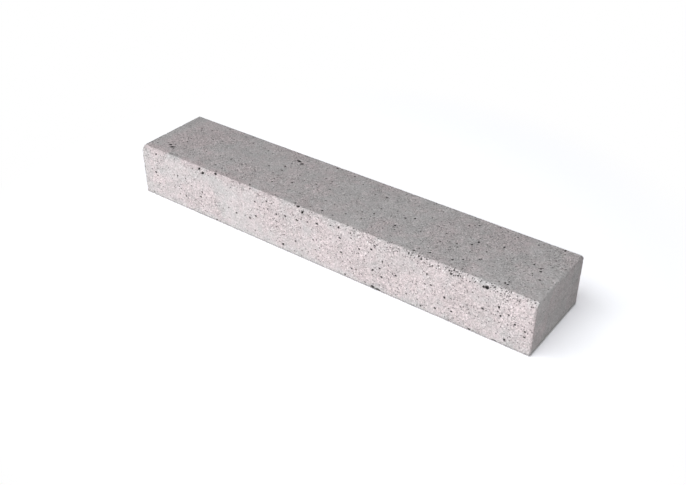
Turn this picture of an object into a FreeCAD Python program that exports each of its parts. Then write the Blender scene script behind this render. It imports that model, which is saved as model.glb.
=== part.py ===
"""Concrete stacking block: one long, low, solid casting that is laid flat, end to end and course on course,
as a garden kerb, a raised-bed edge or a low retaining wall.

The block is a plain rectangular prism. Both long top arrises are cut back by a 45 degree facet, so that the
joints between courses read as a V-groove. The four bed and butt faces stay flat and square. Every arris is
eased a little, as it comes out of the mould.

Frame: origin at the centre of the underside, +X along the length, +Y from the front face to the back face,
+Z up. All sizes are in millimetres.
"""

import FreeCAD
import Part
import os

LENGTH = 1000.0  # butt face to butt face
WIDTH = 200.0  # front face to back face
HEIGHT = 120.0  # one course, underside to top

FACET_RUN = 10.0  # how far a facet reaches in over the top
FACET_DROP = 10.0  # how far a facet reaches down the side

ARRIS_RADIUS = 2.0  # easing of every arris


def section_corners():
    """The corners of the cross-section, anticlockwise as seen from the +X end, from the front of the underside."""
    front, back = -WIDTH / 2, WIDTH / 2
    facet_foot = HEIGHT - FACET_DROP
    return [
        (front, 0.0),
        (back, 0.0),
        (back, facet_foot),
        (back - FACET_RUN, HEIGHT),
        (front + FACET_RUN, HEIGHT),
        (front, facet_foot),
    ]


def sharp_block():
    """The block before its arrises are eased: the cross-section carried from one butt face to the other."""
    points = [FreeCAD.Vector(-LENGTH / 2, y, z) for y, z in section_corners()]
    outline = Part.makePolygon([*points, points[0]])
    return Part.Face(outline).extrude(FreeCAD.Vector(LENGTH, 0, 0))


def stacking_block():
    """The finished casting, with every arris rounded to the same small radius."""
    block = sharp_block()
    return block.makeFillet(ARRIS_RADIUS, block.Edges)


def export(name, shape):
    """Writes one closed solid to parts/NAME.step."""
    solid = shape.Solids[0]
    if len(shape.Solids) != 1 or not solid.isValid():
        raise ValueError(f"{name} is not one valid solid")
    os.makedirs("parts", exist_ok=True)
    solid.exportStep(os.path.join("parts", name + ".step"))
    print(name, "volume", round(solid.Volume / 1e9, 6), "m3")


export("stacking_block", stacking_block())
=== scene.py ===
"""The finish of the concrete stacking block: its pored, cast skin and its pale grey concrete.

Shapes are worked out in millimetres in the block's own frame (origin under the middle of the block, X along
it, Y from front to back, Z up), and become metres only when a mesh is written.
"""

import itertools
import math
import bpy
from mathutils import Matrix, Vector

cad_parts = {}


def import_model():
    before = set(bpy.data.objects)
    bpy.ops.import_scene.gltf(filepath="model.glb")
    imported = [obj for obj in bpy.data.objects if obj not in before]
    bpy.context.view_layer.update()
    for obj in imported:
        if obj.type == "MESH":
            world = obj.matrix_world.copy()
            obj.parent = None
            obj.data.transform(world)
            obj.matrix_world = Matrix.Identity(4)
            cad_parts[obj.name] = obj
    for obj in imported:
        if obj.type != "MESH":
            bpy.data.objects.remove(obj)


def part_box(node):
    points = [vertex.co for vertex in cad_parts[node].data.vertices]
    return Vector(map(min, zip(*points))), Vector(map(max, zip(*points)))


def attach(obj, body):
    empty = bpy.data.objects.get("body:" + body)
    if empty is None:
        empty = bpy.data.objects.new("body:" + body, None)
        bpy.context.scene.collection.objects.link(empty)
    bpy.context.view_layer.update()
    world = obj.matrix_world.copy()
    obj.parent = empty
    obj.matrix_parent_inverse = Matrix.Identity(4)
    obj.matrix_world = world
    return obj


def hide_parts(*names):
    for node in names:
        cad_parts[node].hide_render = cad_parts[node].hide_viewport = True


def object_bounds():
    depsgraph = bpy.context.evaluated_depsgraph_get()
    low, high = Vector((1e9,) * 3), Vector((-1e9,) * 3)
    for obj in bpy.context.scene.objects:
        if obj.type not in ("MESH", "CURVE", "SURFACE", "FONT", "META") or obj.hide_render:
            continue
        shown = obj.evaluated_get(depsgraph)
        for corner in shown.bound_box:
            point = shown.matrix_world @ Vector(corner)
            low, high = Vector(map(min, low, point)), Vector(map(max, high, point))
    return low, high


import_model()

from types import SimpleNamespace

import bpy
import numpy as np

CAD_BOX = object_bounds()

MM = 0.001
BLOCK_LOW, BLOCK_HIGH = (np.array(corner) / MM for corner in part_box("stacking_block"))
LENGTH, WIDTH, HEIGHT = BLOCK_HIGH - BLOCK_LOW
FACET = 10.0  # run and drop of each facet along a long top arris
EASING = 2.0  # radius of every arris

PITCH = 1.25  # spacing of the casting's grid lines
ARRIS_LINES = np.array([0.0, 0.5, 1.0, 1.5, 2.1])  # grid lines that carry the rounding of an arris
PORE_WINDOW = 9  # grid lines on each side of a pore's middle that it can reach
MOST_TRIANGLES = 190_000

PORE_DEPTH = 0.5  # how deep a pore is at its middle, as a share of its smaller width
RIM_BLUR = 0.22  # how far a pore's rim wanders, as a share of its radius
KNOCK_SHADE = 0.08  # how much of a pore's painted shade a knock gets
# Wear rounds the arrises further: the sizes of its clouds, and the most that each adds to the radius.
WEAR_CLOUDS = ((34.0, 0.9), (7.0, 0.9))
# The faces are uneven: a least depth, and the sizes of the clouds and how far each moves the skin.
LEAST_DEPTH = 0.06
UNEVEN_CLOUDS = ((95.0, 0.16), (22.0, 0.08))
MAP_MARGIN = 8.0  # bare strip between the parts of the block's map

SEED = 41  # with a number from 1 to 7 added, the seed of each cloud
SCATTERED_PORES = 1700
KNOCKS = 45
# How strong each kind is, as a share of a pore at its full depth and its full painted shade.
FULL_SIZE = 20.0  # width times height of a placed pore that is at full strength
PLACED_LEAST = 0.55
SCATTERED_RANGE = (0.4, 0.9)
KNOCK_RANGE = (0.35, 0.8)


# ---------------------------------------------------------------- random fields


def lattice_random(cells, seed):
    """A fixed random number from -1 to 1 for each whole-numbered lattice point: its three numbers and the
    seed are multiplied by large primes, mixed by shifts, and the low bits are read as a fraction."""
    key = cells[..., 0] * 73856093 ^ cells[..., 1] * 19349663 ^ cells[..., 2] * 83492791
    key = key ^ seed * 2654435761
    key = (key ^ (key >> 15)) * 2246822519 & 0xFFFFFFFF
    key = (key ^ (key >> 13)) * 3266489917 & 0xFFFFFFFF
    key = key ^ (key >> 16)
    return (key & 0xFFFFFF) / 0x7FFFFF - 1.0


def cloud(points, size, seed):
    """Smooth random values from -1 to 1: random numbers on a cubic lattice with this spacing, joined across
    each cell by the S-curve 3t^2 - 2t^3 in each direction."""
    place = points / size
    cell = np.floor(place).astype(np.int64)
    part = place - cell
    blend = part * part * (3 - 2 * part)
    total = np.zeros(len(points))
    for corner in itertools.product((0, 1), repeat=3):
        weight = np.prod(np.where(corner, blend, 1 - blend), axis=1)
        total += weight * lattice_random(cell + np.array(corner), seed)
    return total


# ---------------------------------------------------------------- the casting's lattice


def grid_lines(span, pitch):
    """Places from 0 to span: the arris lines at both ends, and evenly spaced lines between them."""
    inner = ARRIS_LINES[-1]
    count = max(2, round((span - 2 * inner) / pitch))
    middle = np.linspace(inner, span - inner, count + 1)
    return np.concatenate([ARRIS_LINES[:-1], middle, span - ARRIS_LINES[-2::-1]])


def half_width(z):
    """Half the block's width at a height: full up to the facets, then one less for each one up."""
    return WIDTH / 2 - np.clip(z - (HEIGHT - FACET), 0, FACET)


def block_lattice():
    """The lines of the casting's lattice along X, across (as a share of the half width) and up Z. The heights
    are the lines of the upright face, then those of the facet, which share the line where the two meet."""
    x = grid_lines(LENGTH, PITCH) - LENGTH / 2
    share = grid_lines(WIDTH, PITCH) / (WIDTH / 2) - 1
    upright = grid_lines(HEIGHT - FACET, PITCH)
    facet = HEIGHT - FACET + grid_lines(FACET, PITCH / math.sqrt(2))
    return x, share, np.concatenate([upright, facet[1:]])


def lattice_faces(counts):
    """The six outer faces of a box lattice, each as a grid of lattice numbers that turns anticlockwise as
    seen from outside. A lattice point's number is i * ny * nz + j * nz + k, so faces that meet share
    numbers."""
    nx, ny, nz = counts
    i, j, k = (np.arange(n) for n in counts)

    def numbers(i, j, k):
        return (i * ny + j) * nz + k

    return {
        "front": numbers(i[:, None], 0, k[None]),
        "back": numbers(i[::-1, None], ny - 1, k[None]),
        "top": numbers(i[:, None], j[None], nz - 1),
        "underside": numbers(i[:, None], j[None, ::-1], 0),
        "right": numbers(nx - 1, j[:, None], k[None]),
        "left": numbers(0, j[::-1, None], k[None]),
    }


def sharp_point(number, lines):
    """The place on the sharp block of lattice numbers: along X and up Z as the lines say, and across by the
    line's share of the half width at that height."""
    x, share, z = lines
    i, rest = np.divmod(number, len(share) * len(z))
    j, k = np.divmod(rest, len(z))
    return np.stack([x[i], share[j] * half_width(z[k]), z[k]], axis=1)


def eased(points, radius):
    """Points of the sharp block moved onto the eased one, and the outward direction at each. The core is the
    block shrunk inwards by the radius on every face, facets included. A point goes to the nearest point of
    the core, and from there one radius straight back towards where it was."""
    a, low, top = WIDTH / 2 - radius, radius, HEIGHT - radius
    facet = WIDTH / 2 + HEIGHT - FACET - radius * math.sqrt(2)
    x, y, z = points[:, 0], np.abs(points[:, 1]), points[:, 2]
    core_x = np.clip(x, -LENGTH / 2 + radius, LENGTH / 2 - radius)
    core_y, core_z = np.minimum(y, a), np.clip(z, low, top)
    past = core_y + core_z > facet
    slid = np.clip(y - (y + z - facet) / 2, facet - top, a)
    core_y = np.where(past, slid, core_y)
    core_z = np.where(past, facet - slid, core_z)
    core = np.stack([core_x, core_y * np.where(points[:, 1] < 0, -1, 1), core_z], axis=1)
    outward = points - core
    outward /= np.linalg.norm(outward, axis=1, keepdims=True)
    return core + outward * radius[:, None], outward


# ---------------------------------------------------------------- pores and chips

# The larger blowholes, each (from the left butt face, up the front face, width, height).
FRONT_PORES = (
    (39, 64, 7, 5), (44, 57, 6, 3), (132, 33, 5, 4), (185, 62, 5, 4), (179, 48, 6, 5), (189, 80, 4, 3),
    (152, 67, 4, 3), (342, 58, 6, 4), (325, 47, 5, 6), (286, 45, 5, 4), (342, 94, 5, 4), (375, 107, 6, 4),
    (389, 106, 4, 4), (401, 84, 5, 4), (425, 89, 6, 5), (457, 91, 8, 4), (484, 97, 5, 4), (447, 100, 4, 4),
    (416, 15, 6, 7), (468, 20, 4, 3), (504, 36, 5, 3), (509, 102, 6, 5), (567, 90, 7, 4), (570, 57, 5, 4),
    (595, 101, 5, 3), (594, 41, 3, 3), (597, 28, 4, 5), (580, 6, 5, 4), (615, 83, 5, 4), (614, 71, 4, 3),
    (644, 94, 7, 4), (652, 106, 5, 4), (671, 76, 4, 4), (665, 57, 5, 4), (649, 47, 5, 4), (670, 38, 5, 6),
    (696, 57, 5, 3), (703, 56, 6, 4), (773, 90, 4, 4), (770, 65, 5, 3), (783, 68, 5, 4), (795, 18, 5, 5),
    (763, 10, 5, 4), (766, 94, 4, 3), (814, 52, 5, 6), (829, 56, 4, 3), (861, 91, 4, 3), (862, 87, 4, 3),
    (896, 64, 7, 4), (903, 63, 4, 3), (928, 82, 5, 7), (933, 64, 4, 6), (949, 74, 6, 3), (963, 58, 5, 5),
    (867, 49, 4, 3), (956, 26, 5, 3), (946, 14, 5, 6), (984, 51, 4, 5), (984, 39, 7, 3), (943, 104, 5, 3),
    (831, 27, 5, 4), (825, 31, 4, 3), (837, 14, 4, 3),
)
# On the front facet, each (from the left butt face, down the facet from its top arris, width, height).
FACET_PORES = (
    (45, 11, 6, 4), (176, 5, 6, 6), (190, 11, 8, 6), (223, 2, 8, 6), (324, 4, 4, 4), (453, 0, 9, 7),
    (469, 9, 5, 7), (562, 10, 5, 5), (727, 5, 4, 4), (749, 4, 4, 4), (756, 7, 4, 4), (765, 11, 3, 3),
    (783, 11, 5, 3), (794, 7, 4, 3), (818, 7, 4, 4), (824, 12, 5, 4), (827, 4, 6, 3), (838, 10, 4, 4),
    (892, 11, 4, 5), (899, 10, 8, 7), (913, 4, 4, 3), (906, 4, 4, 2), (920, 10, 4, 3), (883, 5, 4, 3),
    (855, 2, 3, 3), (734, 8, 3, 3), (936, 3, 4, 3), (612, 9, 4, 3), (487, 11, 4, 3),
)
# On the top, each (from the left butt face, in from the front, width, depth).
TOP_PORES = (
    (48, 46, 9, 7), (61, 41, 11, 8), (70, 79, 6, 4), (52, 146, 6, 4), (66, 95, 4, 4), (84, 15, 6, 4),
    (138, 70, 4, 4), (164, 178, 5, 4), (197, 164, 5, 4), (198, 37, 5, 4), (219, 34, 5, 4), (248, 18, 4, 4),
    (296, 104, 7, 4), (336, 160, 11, 9), (349, 154, 8, 9), (327, 122, 5, 5), (331, 105, 5, 5),
    (339, 84, 4, 4),
    (346, 54, 6, 4), (383, 77, 5, 5), (317, 16, 6, 4), (313, 186, 5, 4), (425, 184, 5, 5), (476, 178, 4, 5),
    (430, 102, 5, 4), (487, 60, 7, 4), (442, 16, 5, 5), (476, 23, 4, 4), (504, 26, 5, 5), (532, 24, 5, 4),
    (510, 161, 4, 4), (583, 146, 6, 6), (573, 70, 4, 5), (596, 79, 4, 5), (657, 103, 5, 5), (673, 113, 5, 6),
    (655, 67, 5, 5), (761, 28, 6, 5), (737, 28, 4, 4), (757, 72, 4, 4), (774, 155, 4, 4), (790, 167, 5, 4),
    (733, 16, 4, 5), (819, 113, 4, 6), (812, 99, 6, 4), (867, 128, 4, 6), (847, 94, 4, 4), (848, 64, 4, 5),
    (824, 45, 4, 5), (808, 33, 5, 5), (923, 26, 4, 5), (929, 25, 4, 5), (959, 97, 5, 5), (955, 105, 4, 5),
    (939, 110, 4, 5), (923, 40, 4, 3), (970, 72, 6, 4),
)
# Chips out of the lower front arris, each (from the left butt face, up the front face, width, height).
ARRIS_CHIPS = (
    (649, 5, 10, 7), (662, 3, 13, 6), (430, 1, 8, 5), (872, 3, 6, 5), (926, 2, 10, 5), (223, 4, 6, 4),
)


def section():
    """The corners of the block's section, as rows of Y and Z, from the foot of the front face over the front
    facet, top, back facet and back and along the underside to the start again, and how far round each is."""
    half, foot = WIDTH / 2, HEIGHT - FACET
    y = np.array([-half, -half, FACET - half, half - FACET, half, half, -half])
    z = np.array([0, foot, HEIGHT, HEIGHT, foot, 0, 0])
    way_round = np.concatenate([[0], np.cumsum(np.hypot(np.diff(y), np.diff(z)))])
    return np.stack([y, z], axis=1), way_round


def skin_point(along, over):
    """Places on the sharp block, from the distance along X from the left butt face and the way round the
    section, measured along its straight sides."""
    corners, way_round = section()
    y, z = (np.interp(over, way_round, corners[:, axis]) for axis in (0, 1))
    return np.stack([along - LENGTH / 2, y, z], axis=-1)


def placed_pores():
    """The listed pores, as places on the sharp block, widths along X and heights across it."""
    lists = (FRONT_PORES, FACET_PORES, TOP_PORES, ARRIS_CHIPS)
    front, facet, top, chips = (np.array(rows, float) for rows in lists)
    facet_top = HEIGHT - FACET + FACET * math.sqrt(2)
    facet[:, 1] = facet_top - facet[:, 1]
    top[:, 1] += facet_top - FACET
    rows = np.concatenate([front, facet, top, chips])
    return skin_point(rows[:, 0], rows[:, 1]), rows[:, 2], rows[:, 3]


def scattered_pores(count, rng):
    """Small pores over the whole skin: places spread evenly, fewer on the butt faces, and kept more often
    where two clouds are high and along the facets, most of all at their right end. The sizes are log-normal,
    so most are small and a few are twice as wide. Gives places, widths along X and heights across it."""
    usual_width, least, most = 2.6, 2.0, 5.0
    on_ends, facet_reach = 0.6, 6.0
    girth = section()[1][-1]
    on_tube = skin_point(rng.uniform(0, LENGTH, count), rng.uniform(0, girth, count))
    end_count = round(on_ends * count * WIDTH * HEIGHT / (girth * LENGTH))
    end = np.stack([
        rng.choice([-LENGTH / 2, LENGTH / 2], end_count),
        rng.uniform(-WIDTH / 2, WIDTH / 2, end_count),
        rng.uniform(0, HEIGHT, end_count),
    ], axis=1)
    places = np.concatenate([on_tube, end])
    crowding = 0.55 + 0.45 * cloud(places, 45.0, SEED + 5) + 0.3 * cloud(places, 14.0, SEED + 6)
    past_facet = np.abs(places[:, 1]) + places[:, 2] - (WIDTH / 2 + HEIGHT - FACET)
    near_facet = np.clip(1 - np.abs(past_facet) / facet_reach, 0, 1)
    crowding += near_facet * np.clip(0.5 + places[:, 0] / LENGTH * 2, 0, 1.5)
    kept = rng.uniform(0, 1, len(places)) < crowding
    places = places[kept]
    width = np.exp(rng.normal(math.log(usual_width), 0.25, len(places))).clip(least, most)
    height = width * rng.uniform(0.65, 1.1, len(places))
    return places, width, height


def arris_knocks(count, rng):
    """Shallow pale knocks: this many along the long arrises, as many round the two butt faces, and one
    at the right end of the front face, just under its facet."""
    under_facet = 4.0
    least, most = 3.5, 8.0

    way_round = section()[1]
    long_arris = skin_point(rng.uniform(0, LENGTH, count), rng.choice(way_round[:-1], count))
    butt_arris = skin_point(rng.choice([0, LENGTH], count), rng.uniform(0, way_round[-1], count))
    corner = skin_point(np.array([LENGTH]), way_round[1:2] - under_facet)
    places = np.concatenate([long_arris, butt_arris, corner])
    width, height = rng.uniform(least, most, (2, len(places)))
    return places, width, height


def carve(depth, shade, points, faces, pores, strength, shade_share=1.0):
    """Sinks pores into the skin. With t the distance from a pore's middle over its radius, and a cloud added
    to blur its rim, its depth is a share of its smaller width times its strength times the square root of
    1 - t^2. The shade, the painted shade that darkens the pore's colour, falls off in the same way and is
    scaled by the shade share as well.
    Where pores overlap, the deeper counts. All of them are worked out at once, on the lattice points in a
    square window round each, one face after another."""
    places, width, height = pores
    step = np.arange(-PORE_WINDOW, PORE_WINDOW + 1)
    for numbers in faces.values():
        rows, columns = numbers.shape
        grid = points[numbers]
        u_line, v_line = grid[:, columns // 2], grid[rows // 2]
        u_axis, v_axis = (int(np.argmax(np.ptp(line, axis=0))) for line in (u_line, v_line))
        row = nearest_line(u_line[:, u_axis], places[:, u_axis])[:, None, None] + step[:, None]
        column = nearest_line(v_line[:, v_axis], places[:, v_axis])[:, None, None] + step
        inside = (row >= 0) & (row < rows) & (column >= 0) & (column < columns)
        vertex = numbers[row.clip(0, rows - 1), column.clip(0, columns - 1)]
        gap = points[vertex] - places[:, None, None]
        across = np.hypot(gap[..., 1], gap[..., 2]) / height[:, None, None]
        t = 2 * np.hypot(gap[..., 0] / width[:, None, None], across)
        t += RIM_BLUR * cloud(points[vertex].reshape(-1, 3), 2.2, SEED + 7).reshape(t.shape)
        hollow = np.sqrt(np.clip(1 - t * t, 0, 1)) * inside
        sunk = hollow * (np.minimum(width, height) * PORE_DEPTH * strength)[:, None, None]
        np.maximum.at(depth, vertex, sunk)
        # Painted shade: how much the pore's colour is darkened, as if by the shade inside it.
        np.maximum.at(shade, vertex, hollow * (strength * shade_share)[:, None, None])


def nearest_line(lines, values):
    """The number of the grid line at or just past each value, for lines that run up or down the axis."""
    way = np.sign(lines[-1] - lines[0])
    return np.searchsorted(lines * way, values * way)


def cast_block():
    """The casting's skin: the outer faces of the box lattice, eased, worn along the arrises, and sunk by a
    gentle unevenness and by its pores. The skin only ever goes inwards from the eased block. Gives the
    points, the quads between them and the painted shade that the pores put on each point."""
    rng = np.random.default_rng(SEED)
    lines = block_lattice()
    counts = [len(line) for line in lines]
    faces = lattice_faces(counts)
    numbers = np.unique(np.concatenate([face.ravel() for face in faces.values()]))
    sharp = sharp_point(numbers, lines)
    faces = {name: np.searchsorted(numbers, face) for name, face in faces.items()}

    wear = np.zeros(len(sharp))
    for seed, (size, most) in enumerate(WEAR_CLOUDS, SEED + 1):
        wear += np.clip(cloud(sharp, size, seed), 0, 1) * most
    points, outward = eased(sharp, EASING + wear)

    depth = np.full(len(sharp), LEAST_DEPTH)
    for seed, (size, most) in enumerate(UNEVEN_CLOUDS, SEED + 3):
        depth += most * cloud(sharp, size, seed)
    pore_depth, shade = np.zeros(len(sharp)), np.zeros(len(sharp))
    placed = placed_pores()
    strength = np.clip(placed[1] * placed[2] / FULL_SIZE, PLACED_LEAST, 1)
    carve(pore_depth, shade, sharp, faces, placed, strength)
    scattered = scattered_pores(SCATTERED_PORES, rng)
    carve(pore_depth, shade, sharp, faces, scattered, rng.uniform(*SCATTERED_RANGE, len(scattered[0])))
    knocks = arris_knocks(KNOCKS, rng)
    strength = rng.uniform(*KNOCK_RANGE, len(knocks[0]))
    carve(pore_depth, shade, sharp, faces, knocks, strength, KNOCK_SHADE)
    points = points - outward * (np.clip(depth, 0, 1) + pore_depth)[:, None]

    quads = []
    for face in faces.values():
        corners = np.stack([face[:-1, :-1], face[1:, :-1], face[1:, 1:], face[:-1, 1:]], axis=-1)
        quads.append(corners.reshape(-1, 4))
    return points, np.concatenate(quads), shade


def mesh_piece(name, points, faces):
    """A new piece from points in millimetres and rows of four corners."""
    mesh = bpy.data.meshes.new(name)
    mesh.vertices.add(len(points))
    mesh.vertices.foreach_set("co", (points * MM).astype(np.float32).ravel())
    mesh.loops.add(faces.size)
    mesh.loops.foreach_set("vertex_index", faces.astype(np.int32).ravel())
    mesh.polygons.add(len(faces))
    mesh.polygons.foreach_set("loop_start", np.arange(0, faces.size, 4, dtype=np.int32))
    mesh.update(calc_edges=True)
    piece = bpy.data.objects.new(name, mesh)
    bpy.context.scene.collection.objects.link(piece)
    return piece


def read(items, label, kind, width=1):
    """One property of all of a mesh's points, corners or faces, as an array."""
    values = np.empty(len(items) * width, kind)
    items.foreach_get(label, values)
    return values.reshape(-1, width) if width > 1 else values


def thin(piece, triangles):
    """Merges the flattest triangles of a piece until this many are left, keeps the result as its mesh, and
    brings back the points that the merging left a hair outside the block's box."""
    modifier = piece.modifiers.new("Thin", "DECIMATE")
    modifier.ratio = min(1.0, triangles / (2 * len(piece.data.polygons)))
    graph = bpy.context.evaluated_depsgraph_get()
    mesh = bpy.data.meshes.new_from_object(piece.evaluated_get(graph), depsgraph=graph)
    piece.modifiers.clear()
    piece.data, old = mesh, piece.data
    bpy.data.meshes.remove(old)
    points = read(mesh.vertices, "co", np.float32, 3)
    mesh.vertices.foreach_set("co", np.clip(points, *CAD_BOX).astype(np.float32).ravel())
    mesh.update()


def unroll(piece):
    """Lays the skin out flat as the piece's map. Each face of the mesh belongs to the nearest side of the
    sharp block. On the six long sides, u is the distance along X and v the way round the section; the two
    butt faces lie above them, each seen from outside."""
    mesh = piece.data
    corners, way_round = section()
    side = np.diff(corners, axis=0)
    side /= np.linalg.norm(side, axis=1, keepdims=True)
    outward = np.stack([-side[:, 1], side[:, 0]], axis=1)

    middle = read(mesh.polygons, "center", np.float32, 3) / MM
    inside = [(corners[k] - middle[:, 1:]) @ outward[k] for k in range(len(side))]
    nearest = np.argmin([*inside, LENGTH / 2 - middle[:, 0], LENGTH / 2 + middle[:, 0]], axis=0)
    nearest = np.repeat(nearest, read(mesh.polygons, "loop_total", np.int32))

    points = read(mesh.vertices, "co", np.float32, 3)[read(mesh.loops, "vertex_index", np.int32)] / MM
    x, y, z = points.T
    above = way_round[-1] + MAP_MARGIN + z
    v = [way_round[k] + (points[:, 1:] - corners[k]) @ side[k] for k in range(len(side))]
    u = np.choose(nearest, [x + LENGTH / 2] * len(side) + [y + WIDTH / 2, 1.5 * WIDTH + MAP_MARGIN - y])
    v = np.choose(nearest, [*v, above, above])
    size = np.array([LENGTH, way_round[-1] + MAP_MARGIN + HEIGHT])
    uv = (np.stack([u, v], axis=1) + MAP_MARGIN / 2) / (size + MAP_MARGIN)
    layer = mesh.uv_layers.new(name="OFBake")
    layer.data.foreach_set("uv", np.clip(uv, 0, 1).astype(np.float32).ravel())


# ---------------------------------------------------------------- materials


def add(tree, kind, **settings):
    """A new shader node of this kind, with its properties set."""
    node = tree.nodes.new("ShaderNode" + kind)
    for label, value in settings.items():
        setattr(node, label, value)
    return node


def feed(tree, node, **values):
    """Fills a node's inputs, each by its name with _ for a space, or by i and its number where names repeat.
    Another node's output is linked, and a value is set."""
    for label, value in values.items():
        by_number = label[0] == "i" and label[1:].isdigit()
        socket = node.inputs[int(label[1:]) if by_number else label.replace("_", " ")]
        if isinstance(value, bpy.types.NodeSocket):
            tree.links.new(value, socket)
        else:
            socket.default_value = value
    return node


def sums(tree, operation, first, second=0.0, clamp=False):
    """The result of one sum on two values."""
    node = add(tree, "Math", operation=operation, use_clamp=clamp)
    return feed(tree, node, i0=first, i1=second).outputs[0]


def times(tree, first, *others):
    """The product of values."""
    for other in others:
        first = sums(tree, "MULTIPLY", first, other)
    return first


def plus(tree, first, *others):
    """The sum of values."""
    for other in others:
        first = sums(tree, "ADD", first, other)
    return first


def grade(tree, value, from_low, from_high, to_low=0.0, to_high=1.0, smooth=False):
    """A value rescaled from one range to another, and held inside it."""
    node = add(tree, "MapRange", interpolation_type="SMOOTHSTEP" if smooth else "LINEAR")
    return feed(tree, node, i0=value, i1=from_low, i2=from_high, i3=to_low, i4=to_high).outputs[0]


def clouds(tree, place, size, detail=2.0):
    """Soft noise from about 0 to 1, with its largest lumps this many millimetres across."""
    node = add(tree, "TexNoise")
    return feed(tree, node, Vector=place, Scale=1 / (size * MM), Detail=detail).outputs["Fac"]


def mixed(tree, share, first, second, kind="MIX"):
    """One colour laid over another by a share from 0 to 1."""
    node = add(tree, "Mix", data_type="RGBA", blend_type=kind)
    feed(tree, node, i0=share, i6=first, i7=second)
    return node.outputs[2]


def grey(level):
    """A grey as a colour."""
    return (level, level, level, 1.0)


def channel(tree, kind, value, label):
    """One named part of a vector or colour."""
    return feed(tree, add(tree, kind), i0=value).outputs[label]


def pinhole_group():
    """A node group for pinholes: roundish spots, one to a cell of a random foam. Spacing is the cell's width
    in millimetres, Width the largest spot's radius as a share of it, and Share the part of the cells with a
    spot. A spot's mask falls from 1 to 0 across its rim, and the smaller a spot, the fainter it is."""
    tree = bpy.data.node_groups.new("pinholes", "ShaderNodeTree")
    for label, kind in (("Place", "Vector"), ("Spacing", "Float"), ("Width", "Float"), ("Share", "Float")):
        tree.interface.new_socket(label, in_out="INPUT", socket_type="NodeSocket" + kind)
    tree.interface.new_socket("Mask", in_out="OUTPUT", socket_type="NodeSocketFloat")
    given = tree.nodes.new("NodeGroupInput").outputs
    scale = sums(tree, "DIVIDE", 1 / MM, given["Spacing"])

    # The place is shifted by fine noise, so that the spots aren't quite round.
    warp = feed(tree, add(tree, "TexNoise"), Vector=given["Place"], Scale=times(tree, scale, 3.0), Detail=1.0)
    shift = add(tree, "VectorMath", operation="SCALE")
    feed(tree, shift, i0=warp.outputs["Color"], Scale=sums(tree, "DIVIDE", 0.22, scale))
    place = add(tree, "VectorMath", operation="ADD")
    feed(tree, place, i0=given["Place"], i1=shift.outputs[0])

    foam = feed(tree, add(tree, "TexVoronoi"), Vector=place.outputs[0], Scale=scale)
    draw = channel(tree, "SeparateColor", foam.outputs["Color"], "Red")
    rank = grade(tree, draw, sums(tree, "SUBTRACT", 1.0, given["Share"]), 1.0)
    radius = times(tree, sums(tree, "POWER", rank, 0.5), given["Width"])
    inside = sums(tree, "SUBTRACT", radius, foam.outputs["Distance"])
    mask = sums(tree, "DIVIDE", inside, times(tree, given["Width"], 0.4), clamp=True)
    feed(tree, tree.nodes.new("NodeGroupOutput"), Mask=mask)
    return tree


def pinholes(tree, group, place, spacing, width, share):
    """One layer of pinholes."""
    node = add(tree, "Group", node_tree=group)
    return feed(tree, node, Place=place, Spacing=spacing, Width=width, Share=share).outputs["Mask"]


# Colours of the concrete, as linear red, green and blue.
CEMENT_GREY = (0.545, 0.529, 0.532, 1)
CEMENT_PINK = (0.590, 0.522, 0.532, 1)
STRIP_GREY = (0.30, 0.295, 0.29, 1)
# Painted shade along the foot, where the block stands on the floor.
FOOT_SHADE = (0.21, 0.205, 0.20, 1)
PALE_GRAIN = (0.88, 0.86, 0.86, 1)
# Painted shade inside the faint pinholes and the pinholes.
FAINT_HOLE_SHADE = (0.20, 0.18, 0.18, 1)
PINHOLE_SHADE = (0.085, 0.078, 0.077, 1)
# Painted shade down inside the pores: on their walls, and darkest at their bottoms.
PORE_WALL_SHADE = (0.115, 0.105, 0.103, 1)
PORE_BOTTOM_SHADE = (0.016, 0.014, 0.014, 1)

SAND = 2.4  # width of a sand grain
PATCH = 70.0  # size of the smooth and the coarse patches


def skin_zones(tree):
    """Where a point of the skin is. Its place, and the same place set aside for patterns that mustn't fall
    on those of the first. How far it is along from the middle, out from the middle line and up, in
    millimetres. Masks from 0 to 1 for the facets, the long sides and the butt faces, a calm share that is
    less on the butt faces, and a value that is low in smooth patches and high in coarse ones."""
    place = add(tree, "TexCoord").outputs["Object"]
    aside = feed(tree, add(tree, "VectorMath", operation="ADD"), i0=place, i1=(0.37, 0.11, 0.23)).outputs[0]
    where = feed(tree, add(tree, "SeparateXYZ"), i0=place).outputs
    along = sums(tree, "DIVIDE", where["X"], MM)
    across = sums(tree, "DIVIDE", where["Y"], MM)
    up = sums(tree, "DIVIDE", where["Z"], MM)
    out = sums(tree, "ABSOLUTE", across)
    past_facet = sums(tree, "SUBTRACT", plus(tree, up, out), WIDTH / 2 + HEIGHT - FACET)
    on_end = grade(tree, sums(tree, "ABSOLUTE", along), LENGTH / 2 - 3.0, LENGTH / 2 - 0.8)
    return SimpleNamespace(
        place=place,
        aside=aside,
        along=along,
        across=across,
        up=up,
        on_facet=grade(tree, sums(tree, "ABSOLUTE", past_facet), 4.0, 1.5),
        on_side=grade(tree, out, WIDTH / 2 - FACET, WIDTH / 2 - 1),
        calm=grade(tree, on_end, 0.0, 1.0, 1.0, 0.75),
        patches=clouds(tree, place, PATCH, 2.0),
    )


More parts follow.
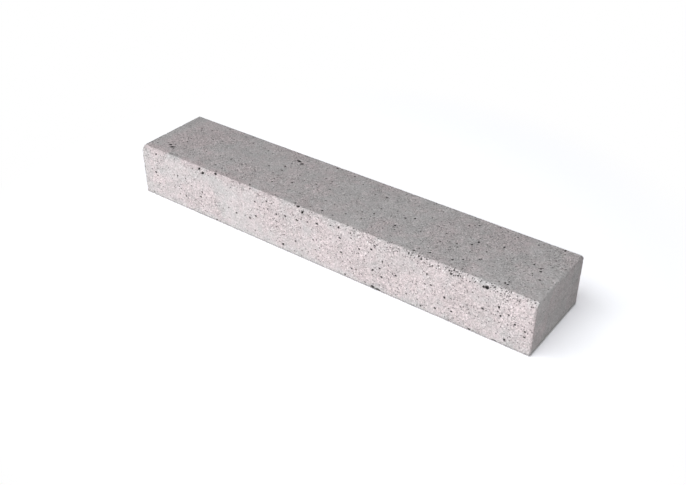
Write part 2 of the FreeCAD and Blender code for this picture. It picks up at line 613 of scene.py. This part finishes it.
def cement(tree, zones):
    """The colour of the cement skin, before its grain. It goes from grey to faintly pink by two clouds, and
    is pinker on the long sides, towards their right end, and in a broken lip along the left half of the
    top's front arris. A strip up from the foot and in from the left end is greyer, and the foot is darkened
    by painted shade, where the block meets the floor."""
    along, up, on_side = zones.along, zones.up, zones.on_side
    left = -LENGTH / 2
    strip = sums(tree, "MAXIMUM", grade(tree, up, 18, 2), grade(tree, along, left + 35, left + 4))
    lip = times(
        tree,
        grade(tree, zones.across, 30 - WIDTH / 2, 12 - WIDTH / 2),
        grade(tree, along, 20, -80),
        grade(tree, on_side, 1.0, 0.2),
        grade(tree, clouds(tree, zones.aside, 40.0, 2.0), 0.4, 0.55),
    )
    lean = times(tree, sums(tree, "DIVIDE", along, LENGTH / 2), grade(tree, on_side, 0, 1, -0.15, 0.12))
    lean = sums(tree, "SUBTRACT", plus(tree, lean, lip), times(tree, strip, 0.6))
    pink = plus(
        tree,
        grade(tree, clouds(tree, zones.place, 75.0, 3.0), 0.36, 0.64, -0.35, 0.35),
        grade(tree, clouds(tree, zones.aside, 17.0, 2.0), 0.3, 0.7, -0.3, 0.3),
        grade(tree, on_side, 0.0, 1.0, 0.38, 0.72),
    )
    pink = sums(tree, "ADD", pink, lean, clamp=True)
    skin = mixed(tree, pink, CEMENT_GREY, CEMENT_PINK)
    shade = grade(tree, clouds(tree, zones.place, 38.0, 4.0), 0.3, 0.7, 0.93, 1.06)
    skin = mixed(tree, 1.0, skin, shade, "MULTIPLY")
    skin = mixed(tree, times(tree, strip, 0.13), skin, STRIP_GREY)
    # Painted shade along the foot, where the block meets the floor, broken up by a cloud.
    broken = grade(tree, clouds(tree, zones.place, 9.0, 3.0), 0.35, 0.6, 0.35, 1.0)
    return mixed(tree, times(tree, grade(tree, up, 6.0, 0.5), broken, 0.6), skin, FOOT_SHADE)


def sanded(tree, zones, skin, grain):
    """The skin with its sand: grains each a little lighter or darker, and finer dust, both fainter in the
    smooth patches."""
    coarse = times(tree, zones.calm, grade(tree, zones.patches, 0.36, 0.56, 0.6, 1.0))
    sandy = grade(tree, grain, 0.0, 1.0, 0.77, 1.19)
    dusty = grade(tree, clouds(tree, zones.place, 3.8, 3.0), 0.3, 0.7, 0.81, 1.17)
    for tone in (sandy, dusty):
        skin = mixed(tree, coarse, skin, mixed(tree, 1.0, skin, tone, "MULTIPLY"))
    return skin


def holes_and_grains(tree, zones):
    """Masks for the pinholes, for the faint pinholes between them and for the pale grains. There are more
    pinholes in the coarse patches, and more pits and pale grains on the facets, most on their right half."""
    group = pinhole_group()
    crowd = grade(tree, zones.patches, 0.38, 0.62, 0.15, 0.95)
    large = pinholes(tree, group, zones.place, 11.0, 0.25, times(tree, crowd, 0.3))
    small = pinholes(tree, group, zones.place, 4.2, 0.42, crowd)
    faint = pinholes(tree, group, zones.place, SAND, 0.42, 0.8)
    rough = times(tree, zones.on_facet, grade(tree, zones.along, 20, 220, 0.35, 1.0))
    pits = times(tree, pinholes(tree, group, zones.aside, 3.4, 0.5, 0.7), rough, 1.12)
    holes = sums(tree, "MAXIMUM", large, times(tree, small, 0.8))
    holes = times(tree, sums(tree, "MAXIMUM", holes, pits), zones.calm)
    pale = pinholes(tree, group, zones.aside, 4.4, 0.46, 0.5)
    return holes, faint, times(tree, pale, grade(tree, rough, 0.0, 1.0, 0.4, 1.0))


def concrete():
    """Cast concrete: pale grey cement with faintly pink patches, sandy all over, pitted with pinholes that
    are darkened by painted shade, and with painted shade down inside its pores."""
    material = bpy.data.materials.new("cast_concrete")
    material.use_nodes = True
    tree = material.node_tree
    zones = skin_zones(tree)
    sand = feed(tree, add(tree, "TexVoronoi"), Vector=zones.place, Scale=1 / (SAND * MM))
    grain = channel(tree, "SeparateColor", sand.outputs["Color"], "Green")
    holes, faint, pale = holes_and_grains(tree, zones)
    pore = add(tree, "Attribute", attribute_name="pore").outputs["Fac"]

    skin = sanded(tree, zones, cement(tree, zones), grain)
    skin = mixed(tree, pale, skin, PALE_GRAIN)
    # Painted shade inside the pinholes, which are dents in the bump only and not in the mesh.
    skin = mixed(tree, times(tree, faint, grade(tree, zones.on_side, 0.0, 1.0, 0.75, 0.5)), skin, FAINT_HOLE_SHADE)
    skin = mixed(tree, times(tree, holes, 0.88), skin, PINHOLE_SHADE)
    # Painted shade inside the pores, read from the pore attribute that the casting gives.
    skin = mixed(tree, times(tree, grade(tree, pore, 0.06, 0.38), 0.92), skin, PORE_WALL_SHADE)
    skin = mixed(tree, grade(tree, pore, 0.35, 0.85), skin, PORE_BOTTOM_SHADE)

    # The height of the relief, in millimetres.
    height = times(tree, clouds(tree, zones.place, 2.2, 5.0), 1.5)
    height = sums(tree, "SUBTRACT", height, times(tree, holes, 1.1))
    height = sums(tree, "SUBTRACT", height, times(tree, faint, 0.5))
    height = plus(tree, height, times(tree, grain, 0.2))
    bump = feed(tree, add(tree, "Bump"), Strength=1.0, Distance=MM, Height=height)

    roughness = grade(tree, clouds(tree, zones.place, 6.0, 2.0), 0.3, 0.7, 0.86, 0.97)
    shader = tree.nodes["Principled BSDF"]
    feed(tree, shader, Base_Color=skin, Roughness=roughness, Normal=bump.outputs["Normal"])
    return material


FLOOR_GREY = grey(0.80)
FLOOR_SEEN = (2.41, 2.45, 2.54, 1)  # brighter than white, so that the lit floor reaches white
WHITE_FROM, WHITE_BY = 0.57, 0.85  # metres from the middle between which the floor turns plain white


def studio_floor():
    """A pale matt floor that the camera sees as white wherever the block leaves it in the light, and that
    gives its own white further off, where the lamps no longer reach."""
    material = bpy.data.materials.new("studio_floor")
    material.use_nodes = True
    tree = material.node_tree
    tree.nodes.clear()
    plain = feed(tree, add(tree, "BsdfDiffuse"), Color=FLOOR_GREY).outputs[0]
    lifted = feed(tree, add(tree, "BsdfDiffuse"), Color=FLOOR_SEEN).outputs[0]
    white = add(tree, "Emission").outputs[0]
    place = add(tree, "TexCoord").outputs["Object"]
    distance = feed(tree, add(tree, "VectorMath", operation="LENGTH"), i0=place).outputs["Value"]
    far = grade(tree, distance, WHITE_FROM, WHITE_BY, smooth=True)
    seen = feed(tree, add(tree, "MixShader"), i0=far, i1=lifted, i2=white).outputs[0]
    camera_ray = add(tree, "LightPath").outputs["Is Camera Ray"]
    switch = feed(tree, add(tree, "MixShader"), i0=camera_ray, i1=plain, i2=seen).outputs[0]
    feed(tree, add(tree, "OutputMaterial"), Surface=switch)
    return material


# ---------------------------------------------------------------- studio


FLOOR_HALF = 6000.0
FLOOR_LEVEL = -0.2  # a hair under the block, so that the two don't share a plane


def floor():
    """A level square floor under the block."""
    corners = [(-FLOOR_HALF, -FLOOR_HALF), (FLOOR_HALF, -FLOOR_HALF), (FLOOR_HALF, FLOOR_HALF)]
    corners = np.array([(x, y, FLOOR_LEVEL) for x, y in [*corners, (-FLOOR_HALF, FLOOR_HALF)]])
    piece = mesh_piece("studio_floor", corners, np.array([[0, 1, 2, 3]]))
    piece.data.materials.append(studio_floor())


def soft_box(name, place, aim, size, power):
    """A rectangular lamp at a place, turned to face the aim."""
    lamp = bpy.data.lights.new(name, "AREA")
    lamp.shape = "RECTANGLE"
    lamp.size, lamp.size_y = size
    lamp.energy = power
    holder = bpy.data.objects.new(name, lamp)
    bpy.context.scene.collection.objects.link(holder)
    way = np.array(aim) - np.array(place)
    flat = math.hypot(way[0], way[1])
    holder.location = place
    holder.rotation_euler = (math.atan2(flat, -way[2]), 0, math.atan2(-way[0], way[1]))
    return holder


def lamps(block):
    """One soft box over the block, which lights all and gives the shadow, and four fills, one on each side,
    that light the block alone."""
    middle = (0, 0, HEIGHT / 2 * MM)
    right_butt = (LENGTH / 2 * MM, 0, HEIGHT / 2 * MM)
    soft_box("top_box", (-0.3, -1.0, 2.1), middle, (2.0, 1.4), 15.8)
    for_block = bpy.data.collections.new("for_block")
    for_block.objects.link(block)
    for fill in (
        soft_box("front_box", (-0.5, -2.4, 0.55), middle, (2.0, 0.9), 58.6),
        soft_box("end_box", (1.02, -0.50, 0.36), right_butt, (0.4, 0.4), 2.1),
        soft_box("back_box", (0.2, 2.6, 0.28), middle, (2.0, 0.5), 16.0),
        soft_box("left_box", (-2.6, 0.5, 0.30), middle, (0.8, 0.5), 14.0),
    ):
        fill.light_linking.receiver_collection = for_block


def world(strength):
    """Even white surroundings that light the block at this strength and that the camera sees as white."""
    surroundings = bpy.data.worlds.new("surroundings")
    surroundings.use_nodes = True
    tree = surroundings.node_tree
    tree.nodes.clear()
    light = feed(tree, add(tree, "Background"), Color=grey(1.0), Strength=strength).outputs[0]
    seen = feed(tree, add(tree, "Background"), Color=grey(1.0), Strength=1.0).outputs[0]
    camera_ray = add(tree, "LightPath").outputs["Is Camera Ray"]
    switch = feed(tree, add(tree, "MixShader"), i0=camera_ray, i1=light, i2=seen).outputs[0]
    feed(tree, add(tree, "OutputWorld"), Surface=switch)
    bpy.context.scene.world = surroundings


def camera():
    """The camera stands to the right of the front and above the block, and aims a little past its middle."""
    azimuth, elevation = math.radians(36.480), math.radians(33.957)
    distance = 1.9737
    past_middle = np.array([0.0131, -0.0157, -0.0475])
    lens = bpy.data.cameras.new("camera")
    lens.sensor_width = 36.0
    lens.lens = 48.30
    holder = bpy.data.objects.new("camera", lens)
    bpy.context.scene.collection.objects.link(holder)
    level = math.cos(elevation)
    back = np.array([math.sin(azimuth) * level, -math.cos(azimuth) * level, math.sin(elevation)])
    holder.location = (BLOCK_LOW + BLOCK_HIGH) / 2 * MM + past_middle + back * distance
    holder.rotation_euler = (math.pi / 2 - elevation, 0, azimuth)
    bpy.context.scene.camera = holder


# ---------------------------------------------------------------- the block and its studio


def finished_block():
    """The casting as one piece in the frame: its mesh, thinned and laid out as a map, and its concrete."""
    points, quads, shade = cast_block()
    block = mesh_piece("cast_block", points, quads)
    # The pore attribute holds the painted shade of the pores, which darkens their colour.
    block.data.attributes.new("pore", "FLOAT", "POINT").data.foreach_set("value", shade.astype(np.float32))
    thin(block, MOST_TRIANGLES)
    unroll(block)
    block.data.shade_smooth()
    block.data.set_sharp_from_angle(angle=math.radians(35))
    block.data.materials.append(concrete())
    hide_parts("stacking_block")
    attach(block, "root")
    return block


camera()
world(0.25)
floor()
lamps(finished_block())
bpy.context.scene.view_settings.view_transform = "Standard"
